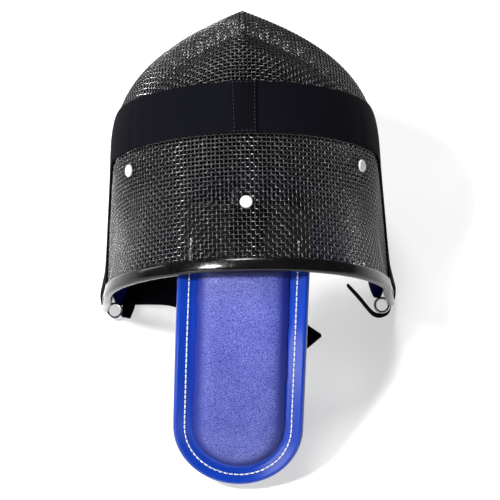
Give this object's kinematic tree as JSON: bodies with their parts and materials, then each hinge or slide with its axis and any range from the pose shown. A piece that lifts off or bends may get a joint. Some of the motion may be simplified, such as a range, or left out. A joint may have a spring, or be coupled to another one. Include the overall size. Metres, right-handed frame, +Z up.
{
  "type": "fencing mask",
  "caption": "Fencing mask standing tilted back on its lower rim: woven wire face and crown, black rim edging, navy elastic band over the crown, blue padded tongue at the back, bib tucked under.",
  "frame": {"origin": "on the floor, at the middle of the footprint of the whole mask as it stands", "axes": "X to the wearer's right, Y the way the face looks, from the back of the tongue to the ridge of the face, Z up from the floor"},
  "size_m": [0.2312, 0.3364, 0.2384],
  "materials": {
    "mesh_wire": "black enamelled woven steel wire",
    "edging": "glossy black plastic",
    "elastic": "navy black ribbed woven elastic",
    "blue_vinyl": "royal blue grained vinyl with a satin sheen",
    "rivet": "white enamelled domed head",
    "steel": "bright plated steel",
    "bib_cloth": "navy tight woven cloth"
  },
  "bodies": {
    "root": {"crown_mesh": "mesh_wire", "face_mesh": "mesh_wire", "rim_edging": "edging", "elastic_band": "elastic", "band_overlap": "elastic", "tongue_flange": "blue_vinyl", "tongue_pad": "blue_vinyl", "tongue_spring": "steel", "rivet_centre": "rivet", "rivet_right": "rivet", "rivet_left": "rivet", "side_pad_right": "blue_vinyl", "side_pad_left": "blue_vinyl", "strap_ring_right": "steel", "strap_ring_left": "steel", "strap_end_long": "elastic", "ring_loop_left": "elastic", "strap_end_short": "elastic", "bib": "bib_cloth"}
  },
  "joints": []
}
